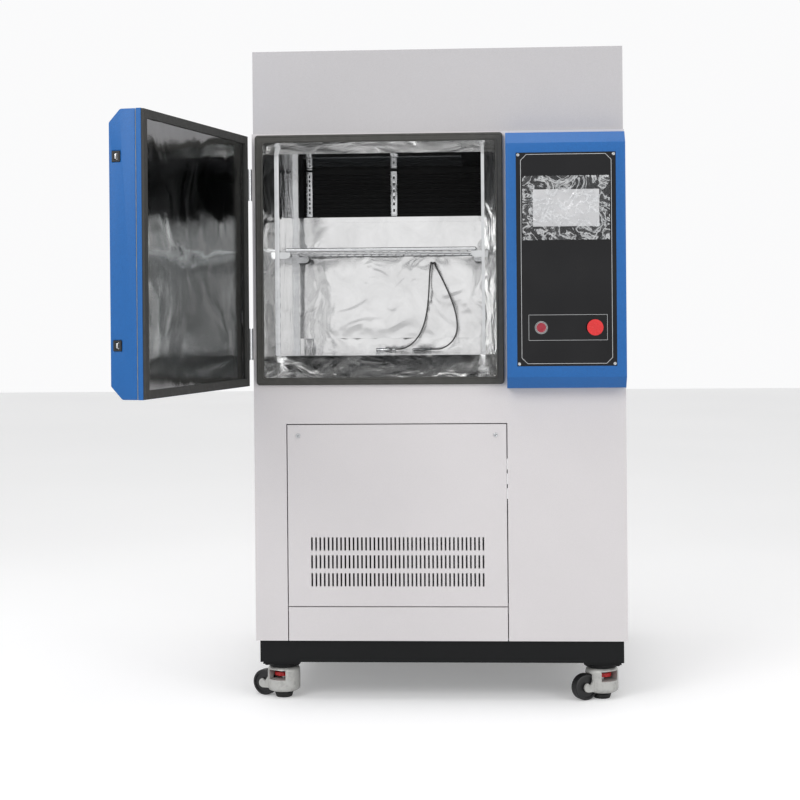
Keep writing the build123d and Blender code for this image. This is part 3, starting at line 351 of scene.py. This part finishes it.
def casting(name, colour):
    """Die-cast metal with a light paint over its skin."""
    finish = Finish(name).set(metal=0.25)
    finish.colour(finish.ramp(finish.noise(70, 6, 0.7), (0.28, shade(colour, 0.72)), (0.5, colour),
                              (0.8, shade(colour, 1.1))))
    finish.roughness(finish.noise(80, 4), 0.32, 0.52)
    finish.bump(finish.noise(420, 3, 0.6), 0.0001)
    return finish.material


WHITE = (0.665, 0.640, 0.648)
HOOD_GREY = (0.500, 0.488, 0.500)
BLUE = (0.010, 0.120, 0.385)
white_coat = powder_coat("white powder coat", WHITE)
hood_coat = powder_coat("speckled grey coat", HOOD_GREY, 0.5, 1100, 0.00008, 0.16)
blue_coat = powder_coat("blue textured coat", BLUE, 0.40, 620, 0.00022, 0.30, 0.08, 0.4)
black_coat = powder_coat("black frame coat", (0.0055, 0.006, 0.0065), 0.5, specular=0.2)
dark_coat = powder_coat("black outlet coat", (0.006, 0.0065, 0.007), 0.45, specular=0.2)
motor_coat = powder_coat("motor coat", (0.05, 0.07, 0.10))
liner_steel = stainless("bright liner steel", (0.80, 0.80, 0.80), 0.07)
throat_steel = stainless("hand bent throat steel", (0.88, 0.88, 0.87), 0.16, 0.006, 13)
# Painted reflection: the door liner's dark 0.34 colour stands in for the dark surroundings the mirror
# reflects in its middle.
door_mirror_painted_dark = stainless("door liner mirror", (0.34, 0.35, 0.35), 0.045, 0.004, 6)
rail_steel = stainless("rail steel", rough=0.14, buckle=0.0006, waves=30)
wire_chrome = plated("polished wire", (0.74, 0.75, 0.76), 0.13, (1, 1, 1))
zinc = plated("zinc plate")
cast_grey = casting("caster casting", (0.50, 0.50, 0.48))
seal = rubber("frame seal rubber", (0.052, 0.051, 0.046))
door_seal = rubber("door seal rubber", (0.030, 0.030, 0.028))
foot_rubber = rubber("foot rubber", (0.015, 0.015, 0.015))
# Painted highlight: the leads are black, and their mid-grey 0.20 colour stands in for the light highlights
# along them.
lead_rubber = rubber("sensor lead jacket", (0.20, 0.20, 0.20), 1500)
nylon = plastic("black nylon tread", (0.010, 0.010, 0.011), 0.4, 300, 0.0001)
black_moulding = plastic("black moulding", (0.012, 0.012, 0.012), 0.45)
foam = rubber("insulation foam", (0.70, 0.62, 0.40), 200)
tank_white = plastic("tank plastic", (0.70, 0.70, 0.68), 0.4)
aluminium = plated("plain aluminium", (0.66, 0.67, 0.68), 0.35)
thumb_red = plastic("red thumbwheel", (0.50, 0.010, 0.012), 0.32)
crimson = plastic("crimson cap", (0.30, 0.004, 0.022), 0.22, coat=0.6)
stop_red = plastic("red mushroom", (0.66, 0.010, 0.012), 0.25, coat=0.5)


def gloss_black():
    finish = Finish("black gloss sheet").set(coat=0.2, coat_rough=0.05, specular=0.2)
    finish.colour(finish.ramp(finish.noise(8, 5), (0.3, (0.004, 0.004, 0.005)), (0.7, (0.008, 0.008, 0.009))))
    finish.roughness(finish.noise(26, 6, 0.7, distortion=0.5), 0.06, 0.16)
    finish.bump(finish.noise(5, 2), 0.0006)
    return finish.material


def painted_screen_reflection():
    # Painted reflection: the screen's pale grey colour and faint glow stand in for the bright reflection on
    # its glass.
    finish = Finish("touch display").set(glow=0.10, coat=0.3, coat_rough=0.05)
    pale = finish.ramp(finish.noise(16, 3), (0.3, (0.44, 0.44, 0.45)), (0.7, (0.54, 0.54, 0.55)))
    finish.colour(pale)
    finish.links.new(pale, finish.shader.inputs["Emission Color"])
    finish.roughness(finish.noise(60, 3), 0.12, 0.2)
    return finish.material


def thin_film():
    """Clear protective film that was never peeled off: nearly all see-through, with painted highlights along
    its creases.
    """
    finish = Finish("clear film").set(ior=1.45, specular=0.9, coat=0.8, coat_rough=0.04)
    finish.colour(finish.ramp(finish.noise(40, 4), (0.3, (0.75, 0.77, 0.79)), (0.7, (0.92, 0.93, 0.94))))
    finish.roughness(finish.noise(70, 5, 0.6), 0.06, 0.22)
    # Painted highlight: pale, nearly opaque bands along the creases stand in for the glints on the crinkled
    # film.
    creases = finish.ramp(finish.noise(24, 3, 0.6, distortion=1.6), (0.44, (0.04,) * 3), (0.50, (0.60,) * 3),
                          (0.56, (0.06,) * 3))
    finish.links.new(creases, finish.shader.inputs["Alpha"])
    finish.bump(finish.noise(45, 3, 0.6, distortion=1.2), 0.004)
    return finish.material


def filter_glass():
    finish = Finish("dark filter glass").set(clear=0.5, ior=1.5)
    finish.colour(finish.ramp(finish.noise(9, 3), (0.3, (0.10, 0.11, 0.12)), (0.7, (0.15, 0.16, 0.17))))
    finish.roughness(finish.noise(30, 4), 0.04, 0.1)
    return finish.material


black_gloss = gloss_black()
display = painted_screen_reflection()
film = thin_film()
glass = filter_glass()
silver_line = plated("silver printed line", (0.72, 0.73, 0.74), 0.3, (1, 1, 1))

carried = {
    white_coat: ["lower_front_frame", "access_panel", "kick_strip", "side_panels", "rear_panels",
                 "upper_front_frame"],
    hood_coat: ["hood_shell"],
    blue_coat: ["door_inner_pan", "control_bezel", "door_shell"],
    black_coat: ["base_frame", "compressor"],
    dark_coat: ["outlet_grille"],
    zinc: ["decks", "access_panel_screws", "hinge_frame_leaves", "hinge_door_leaves", "lamp_unit"],
    liner_steel: ["inner_liner", "duct_plate"],
    throat_steel: ["throat_frame"],
    door_mirror_painted_dark: ["door_liner"],
    rail_steel: ["shelf_supports"],
    wire_chrome: ["wire_shelf", "latch_rod", "sensor_probes", "button_collars", "heater_coil"],
    seal: ["frame_gasket"],
    door_seal: ["door_gasket"],
    foam: ["chamber_insulation", "door_insulation"],
    black_gloss: ["control_plate", "touch_screen"],
    black_moulding: ["latch_cases", "door_handle", "condenser_fan", "electrics_rack", "cable_glands"],
    glass: ["filter_glass"],
    motor_coat: ["blower_motor"],
    aluminium: ["blower_wheel", "condenser"],
    tank_white: ["water_tank"],
    crimson: ["power_button_cap"],
    stop_red: ["estop_head"],
    lead_rubber: ["sensor_lead_left", "sensor_lead_right"],
    cast_grey: ["caster_housing_front_left", "caster_housing_front_right", "caster_housing_rear_left",
                "caster_housing_rear_right"],
    nylon: ["caster_wheel_front_left", "caster_wheel_front_right", "caster_wheel_rear_left",
            "caster_wheel_rear_right"],
    foot_rubber: ["caster_foot_front_left", "caster_foot_front_right", "caster_foot_rear_left",
                  "caster_foot_rear_right"],
}
for finish, names in carried.items():
    for name in names:
        node = cad[name]
        node.data.materials.clear()
        node.data.materials.append(finish)


# The two sensor leads hang from the rear wall and lie on the floor of the test space
lead_routes = {
    "left": [(-0.038, 0.100, 1.077), (-0.038, 0.082, 1.077), (-0.040, 0.068, 1.066), (-0.042, 0.063, 1.040),
             (-0.044, 0.061, 0.994), (-0.049, 0.060, 0.944), (-0.060, 0.057, 0.900), (-0.078, 0.052, 0.868),
             (-0.099, 0.045, 0.850), (-0.121, 0.037, 0.8424), (-0.143, 0.029, 0.8424)],
    "right": [(-0.030, 0.100, 1.077), (-0.030, 0.081, 1.077), (-0.025, 0.066, 1.067), (-0.013, 0.058, 1.044),
              (0.006, 0.053, 1.006), (0.024, 0.050, 0.960), (0.034, 0.048, 0.916), (0.031, 0.044, 0.880),
              (0.014, 0.037, 0.856), (-0.008, 0.029, 0.8435), (-0.028, 0.020, 0.8424),
              (-0.046, 0.009, 0.8424)],
}


lead_radius = 0.002
probe_radius, probe_length = 0.004, 0.046


def probe(route):
    """A stainless sensor tube with a crimped collar and a rounded tip, at the end of its lead."""
    end = Vector(route[-1])
    along = (end - Vector(route[-2])).normalized()
    tube = soften(drum(probe_radius, end, end + along * probe_length, 24), 0.0018)
    collar = soften(drum(0.0036, end - along * 0.010, end + along * 0.001, 24), 0.0008)
    return joined(tube, collar)


for side, route in lead_routes.items():
    tip = fit(probe(route), "probe_" + side, "cabinet", "polished_wire", wire_chrome, "sensor_probes")
    line = bpy.data.curves.new("lead_" + side, "CURVE")
    line.dimensions = "3D"
    line.bevel_depth = lead_radius
    line.bevel_resolution = 4
    line.resolution_u = 10
    line.use_fill_caps = True
    spline = line.splines.new("NURBS")
    spline.points.add(len(route) - 1)
    for point, place in zip(spline.points, route):
        point.co = (*place, 1)
    spline.order_u = 3
    spline.use_endpoint_u = True
    lead = bpy.data.objects.new("lead_" + side, line)
    bpy.context.scene.collection.objects.link(lead)
    fit(lead, "lead_" + side, "cabinet", "lead_jacket", lead_rubber, "sensor_lead_" + side)


# Door: chamfered blue shell with pockets for the latches
chamfer_depth, chamfer_height = 0.025, 0.027


def chamfered_box(x0, x1, face, back, z0, z1):
    box = slab(x0, x1, face, back, z0, z1)
    slice_off(box, (x0, face + chamfer_depth, z1), (0, -chamfer_height, chamfer_depth))
    slice_off(box, (x0, face + chamfer_depth, z0), (0, -chamfer_height, -chamfer_depth))
    return box


shell = chamfered_box(door_left, door_right, shell_face, shell_back, door_low, door_high)
latch_heights = (door_low + 0.113, door_low + 0.507)
for height in latch_heights:
    cut(shell, slab(door_right - 0.014, door_right + 0.01, latch_y - 0.009, latch_y + 0.009,
                    height - 0.011, height + 0.011))
soften(shell, 0.0032, 4)
fit(swing(shell), "door_skin", "door", "blue_paint", blue_coat, "door_shell")

hooks = []
for height in latch_heights:
    hook = slab(door_right - 0.004, door_right + 0.0028, latch_y - 0.0022, latch_y + 0.0022,
                height - 0.0055, height + 0.0055)
    pick_faces(hook, lambda face: face.normal.x > 0.9)
    bpy.ops.mesh.inset(thickness=0.0012, depth=0.0004)
    object_mode()
    hooks.append(soften(hook, 0.0009))
fit(swing(joined(*hooks)), "latch_tongues", "latch_hooks", "polished_wire", wire_chrome)


# Rib that runs round a seal, drawn as a tube along a rounded rectangle
def seal_rib(x0, x1, z0, z1, y, corner, radius):
    rib = slab(x0, x1, y - 0.001, y + 0.001, z0, z1)
    take(rib)
    bpy.ops.object.mode_set(mode="EDIT")
    bpy.ops.mesh.select_mode(type="FACE")
    bpy.ops.mesh.select_all(action="DESELECT")
    object_mode()
    for face in rib.data.polygons:
        face.select = face.normal.y > -0.9
    bpy.ops.object.mode_set(mode="EDIT")
    bpy.ops.mesh.delete(type="FACE")
    bpy.ops.mesh.select_mode(type="VERT")
    bpy.ops.mesh.select_all(action="SELECT")
    bpy.ops.mesh.bevel(offset=corner, segments=6, affect="VERTICES")
    bpy.ops.mesh.select_all(action="SELECT")
    bpy.ops.mesh.delete(type="ONLY_FACE")
    object_mode()
    bpy.ops.object.convert(target="CURVE")
    rib = bpy.context.object
    rib.data.bevel_depth = radius
    rib.data.bevel_resolution = 3
    bpy.ops.object.convert(target="MESH")
    rib = bpy.context.object
    bpy.ops.object.shade_smooth()
    return rib


# The frame's ribs stand 1.2 mm out of the seal and press 0.7 mm into the closed door's gasket
fx0, fx1, fz0, fz1 = seal_left, seal_right, seal_low, seal_high
frame_ribs = [seal_rib(fx0 + d, fx1 - d, fz0 + d, fz1 - d, front - 0.0064, 0.008, 0.0018)
              for d in (0.0035, 0.0145)]
fit(joined(*frame_ribs), "frame_seal_ribs", "cabinet", "seal_rubber", seal)
dx0, dx1, dz0, dz1 = door_left + 0.001, door_right - 0.001, door_low + 0.001, door_high - 0.001
door_ribs = [seal_rib(dx0 + d, dx1 - d, dz0 + d, dz1 - d, gasket_face - 0.0012, 0.006, 0.0014)
             for d in (0.004, 0.0135)]
fit(swing(joined(*door_ribs)), "door_seal_ribs", "door", "seal_rubber", door_seal)

# Control panel: blue surround, black gloss sheet with a silver outline, screen and buttons
surround = chamfered_box(bezel_left, bezel_right, bezel_face, front, bezel_low, bezel_high)
half = 0.118
cut(surround,
    slab(bezel_left + 0.002, bezel_right - 0.002, bezel_face + 0.006, front + 0.01,
         bezel_low + 0.03, bezel_high - 0.03),
    slab(plate_x - half, plate_x + half, bezel_face - 0.01, plate_face + 0.004, plate_low, plate_high),
    slab(plate_x - half + 0.006, plate_x + half - 0.006, bezel_face - 0.01, plate_face + 0.02,
         plate_low + 0.006, plate_high - 0.006))
soften(surround, 0.0028, 4)
fit(surround, "panel_surround", "cabinet", "blue_paint", blue_coat, "control_bezel")


def outline(x0, x1, z0, z1, width, corner, y, thickness=0.0003):
    """A flat printed line round a box with cut corners."""
    ring = slab(x0, x1, y - thickness, y, z0, z1)
    if corner:
        for sx, sz in ((1, 1), (1, -1), (-1, 1), (-1, -1)):
            x, z = (x1 if sx > 0 else x0), (z1 if sz > 0 else z0)
            slice_off(ring, (x - sx * corner / 2, y, z - sz * corner / 2), (sx, 0, sz))
    pick_faces(ring, lambda face: abs(face.normal.y) > 0.9)
    bpy.ops.mesh.inset(thickness=width)
    object_mode()
    large = (x1 - x0) * (z1 - z0) * 0.6
    inner = [face.index for face in ring.data.polygons if abs(face.normal.y) > 0.9 and face.area > large]
    pick_faces(ring, lambda face: face.index in inner)
    bpy.ops.mesh.delete(type="FACE")
    bpy.ops.mesh.select_all(action="SELECT")
    bpy.ops.mesh.select_mode(type="EDGE")
    bpy.ops.mesh.select_all(action="DESELECT")
    bpy.ops.mesh.select_non_manifold()
    bpy.ops.mesh.bridge_edge_loops()
    bpy.ops.mesh.select_all(action="SELECT")
    bpy.ops.mesh.normals_make_consistent(inside=False)
    object_mode()
    return ring


lines = [outline(0.200, 0.415, 0.8186, 1.316, 0.0010, 0.014, plate_face),
         outline(0.217, 0.403, 0.874, 0.935, 0.0007, 0, plate_face)]
fit(joined(*lines), "panel_lines", "cabinet", "polished_wire", silver_line)


def pan_screw(x, y, z, radius, height=0.0016):
    """A pan head screw with a cross recess."""
    head = drum(radius, (x, y, z), (x, y - height, z), 32)
    soften(head, height * 0.45, 3)
    wide, thin = radius * 0.55, radius * 0.13
    cut(head, slab(x - wide, x + wide, y - height * 1.5, y - height * 0.4, z - thin, z + thin),
        slab(x - thin, x + thin, y - height * 1.5, y - height * 0.4, z - wide, z + wide))
    return head


corner_screws = [pan_screw(x, plate_face, z, 0.0036) for x in (0.1945, 0.4200) for z in (0.8185, 1.3145)]
fit(joined(*corner_screws), "panel_screws", "cabinet", "zinc_steel", zinc)
front_screws = [pan_screw(x, front, 0.646, 0.0055, 0.0024) for x in (-0.343, 0.136)]
fit(joined(*front_screws), "access_screws", "cabinet", "zinc_steel", zinc, "access_panel_screws")

screen = slab(plate_x - 0.1005, plate_x + 0.1005, plate_face - 0.005, plate_face,
              screen_z - 0.074, screen_z + 0.074)
pick_faces(screen, lambda face: face.normal.y < -0.9)
bpy.ops.mesh.inset(thickness=0.0205)
bpy.ops.transform.resize(value=(1.0, 1.0, 0.84), center_override=(plate_x, 0, screen_z))
bpy.ops.mesh.extrude_region_move(TRANSFORM_OT_translate={"value": (0, 0.0012, 0)})
object_mode()
soften(screen, 0.0012, 3)
fit(screen, "screen_frame", "cabinet", "black_gloss", black_gloss, "touch_screen")
picture = slab(plate_x - 0.0785, plate_x + 0.0785, plate_face - 0.0042, plate_face - 0.0030,
               screen_z - 0.0440, screen_z + 0.0440)
fit(soften(picture, 0.0004, 2), "screen_display", "cabinet", "black_gloss", display)

deselect()
bpy.ops.mesh.primitive_grid_add(x_subdivisions=90, y_subdivisions=70, size=1,
                                location=(plate_x, plate_face - 0.0075, screen_z), rotation=(pi / 2, 0, 0))
cling = bpy.context.object
cling.scale = (0.206, 0.152, 1)
settle(cling)
bpy.ops.object.modifier_add(type="DISPLACE")
creases = bpy.data.textures.new("film creases", "CLOUDS")
creases.noise_scale = 0.022
creases.noise_depth = 3
creases.noise_type = "HARD_NOISE"
wrinkle = cling.modifiers[-1]
wrinkle.texture = creases
wrinkle.texture_coords = "GLOBAL"
wrinkle.strength = 0.005
bpy.ops.object.modifier_apply(modifier=wrinkle.name)
bpy.ops.object.shade_smooth()
fit(cling, "screen_film", "cabinet", "black_gloss", film)


def button_ring(x, radius, hole):
    ring = drum(radius, (x, plate_face, button_z), (x, plate_face - 0.003, button_z), 64)
    cut(ring, drum(hole, (x, plate_face + 0.001, button_z), (x, plate_face - 0.01, button_z), 64))
    return soften(ring, 0.0009, 3)


rings = joined(button_ring(power_x, 0.015, 0.0117), button_ring(stop_x, 0.015, 0.0083))
fit(rings, "button_rings", "cabinet", "polished_wire", wire_chrome)
cap = drum(0.0114, (power_x, plate_face + 0.010, button_z), (power_x, plate_face - 0.0055, button_z), 64)
pick_faces(cap, lambda face: face.normal.y < -0.9)
bpy.ops.mesh.inset(thickness=0.0024)
bpy.ops.mesh.extrude_region_move(TRANSFORM_OT_translate={"value": (0, 0.0008, 0)})
bpy.ops.mesh.inset(thickness=0.003)
bpy.ops.transform.translate(value=(0, -0.0004, 0))
object_mode()
fit(soften(cap, 0.0007, 3), "power_cap", "power_button", "power_red", crimson, "power_button_cap")

head = drum(0.019, (stop_x, plate_face - 0.018, button_z), (stop_x, plate_face - 0.030, button_z), 72)
pick_faces(head, lambda face: face.normal.y < -0.9)
bpy.ops.mesh.inset(thickness=0.0035, depth=0)
object_mode()
pick_faces(head, lambda face: face.normal.y < -0.9 and face.area < 0.00085)
bpy.ops.mesh.extrude_region_move(TRANSFORM_OT_translate={"value": (0, -0.0, 0)})
object_mode()
soften(head, 0.0042, 6)
stem = drum(0.008, (stop_x, plate_face - 0.020, button_z), (stop_x, plate_face + 0.014, button_z), 40)
soften(stem, 0.0006)
fit(joined(head, stem), "stop_mushroom", "emergency_stop", "stop_red", stop_red, "estop_head")


# Bright strips in front of the air outlet
def holed_strip(x0, x1, z0, z1, y, pitch, slot):
    strip = slab(x0, x1, y - 0.0012, y, z0, z1)
    count = int((z1 - z0 - 0.01) / pitch)
    middle = (x0 + x1) / 2
    holes = [slab(middle - slot / 2, middle + slot / 2, y - 0.01, y + 0.01,
                  z0 + pitch * (n + 0.7), z0 + pitch * (n + 0.7) + slot * 1.6) for n in range(count)]
    cut(strip, joined(*holes))
    return soften(strip, 0.0004, 2)


strips = [holed_strip(-0.382, -0.367, 1.208, 1.332, 0.1195, 0.0125, 0.0042),
          holed_strip(-0.149, -0.132, 1.208, 1.332, 0.1195, 0.018, 0.0045)]
fit(joined(*strips), "outlet_strips", "cabinet", "bright_stainless", rail_steel)


# Caster feet: tapered rubber pad, threaded stem and red notched thumbwheel
foot_radius, thumb_radius = 0.023, 0.0225


def caster_foot():
    pad = drum(foot_radius, (0, 0, 0), (0, 0, 0.012), 48)
    pick_faces(pad, lambda face: face.normal.z < -0.9)
    bpy.ops.transform.resize(value=(0.84, 0.84, 1), center_override=(0, 0, 0))
    object_mode()
    soften(pad, 0.0016)
    pad.data.materials.append(foot_rubber)
    rod = drum(0.006, (0, 0, 0.0115), (0, 0, 0.0625), 24)
    rod.data.materials.append(zinc)
    wheel = drum(thumb_radius, (0, 0, 0.0535), (0, 0, 0.0625), 72)
    pick_faces(wheel, lambda face: abs(face.normal.z) < 0.5 and face.index % 4 < 2)
    bpy.ops.mesh.inset(thickness=0.0003)
    bpy.ops.transform.resize(value=(0.955, 0.955, 1), center_override=(0, 0, 0.058))
    object_mode()
    soften(wheel, 0.0008, 2)
    wheel.data.materials.append(thumb_red)
    collar = soften(drum(0.016, (0, 0, 0.0628), (0, 0, 0.0655), 36), 0.0008)
    collar.data.materials.append(zinc)
    return joined(pad, rod, wheel, collar)


foot = caster_foot()
caster_at = 0.39
corners = {"front_left": (-1, -1, -22), "front_right": (1, -1, 30),
           "rear_left": (-1, 1, -75), "rear_right": (1, 1, -110)}
for name, (side, end, turned) in corners.items():
    place = Matrix.Translation((side * caster_at, end * caster_at, 0))
    place = place @ Matrix.Rotation(radians(turned), 4, "Z")
    fit(copied(foot, place), "foot_" + name, "foot_" + name, "caster_pad", None, "caster_foot_" + name)
bpy.data.objects.remove(foot)

# Floor, lights and surroundings
deselect()
bpy.ops.mesh.primitive_plane_add(size=30)
floor = bpy.context.object
floor.name = "floor"
ground = Finish("pale floor")
ground.colour(ground.ramp(ground.noise(0.6, 3), (0.3, (0.83, 0.83, 0.835)), (0.7, (0.87, 0.87, 0.875))))
ground.set(rough=0.75)
eye = ground.nodes.new("ShaderNodeLightPath")
lift = ground.nodes.new("ShaderNodeMath")
lift.operation = "MULTIPLY"
lift.inputs[1].default_value = 0.22
ground.links.new(eye.outputs["Is Camera Ray"], lift.inputs[0])
ground.links.new(lift.outputs[0], ground.shader.inputs["Emission Strength"])
ground.shader.inputs["Emission Color"].default_value = (1, 1, 1, 1)
floor.data.materials.append(ground.material)

world = bpy.data.worlds.new("studio")
bpy.context.scene.world = world
world.use_nodes = True
sky, strings = world.node_tree.nodes, world.node_tree.links
sky.clear()
rays = sky.new("ShaderNodeLightPath")
seen = sky.new("ShaderNodeMath")
seen.operation = "MAXIMUM"
strings.new(rays.outputs["Is Camera Ray"], seen.inputs[0])
strings.new(rays.outputs["Is Glossy Ray"], seen.inputs[1])
through = sky.new("ShaderNodeMath")
through.operation = "MAXIMUM"
strings.new(seen.outputs[0], through.inputs[0])
strings.new(rays.outputs["Is Transmission Ray"], through.inputs[1])
light_level = sky.new("ShaderNodeBackground")
light_level.inputs["Color"].default_value = (1, 1, 1, 1)
light_level.inputs["Strength"].default_value = 0.62
backdrop = sky.new("ShaderNodeBackground")
backdrop.inputs["Color"].default_value = (0.96, 0.96, 0.965, 1)
backdrop.inputs["Strength"].default_value = 1.0
choose = sky.new("ShaderNodeMixShader")
strings.new(through.outputs[0], choose.inputs["Fac"])
strings.new(light_level.outputs[0], choose.inputs[1])
strings.new(backdrop.outputs[0], choose.inputs[2])
out = sky.new("ShaderNodeOutputWorld")
strings.new(choose.outputs[0], out.inputs["Surface"])


def softbox(name, place, target, width, height, power):
    lamp = bpy.data.lights.new(name, "AREA")
    lamp.shape = "RECTANGLE"
    lamp.size = width
    lamp.size_y = height
    lamp.energy = power
    holder = bpy.data.objects.new(name, lamp)
    bpy.context.scene.collection.objects.link(holder)
    holder.location = place
    holder.rotation_euler = (Vector(target) - Vector(place)).to_track_quat("-Z", "Y").to_euler()


softbox("key light", (-2.2, -4.0, 3.2), (0, -0.3, 0.8), 2.2, 2.2, 70)
softbox("fill light", (2.8, -3.4, 1.9), (0, -0.3, 0.8), 1.8, 2.2, 34)
softbox("top light", (0.0, -0.6, 4.2), (0, 0, 0.8), 2.6, 2.6, 40)

bpy.context.scene.view_settings.view_transform = "Standard"
deselect()
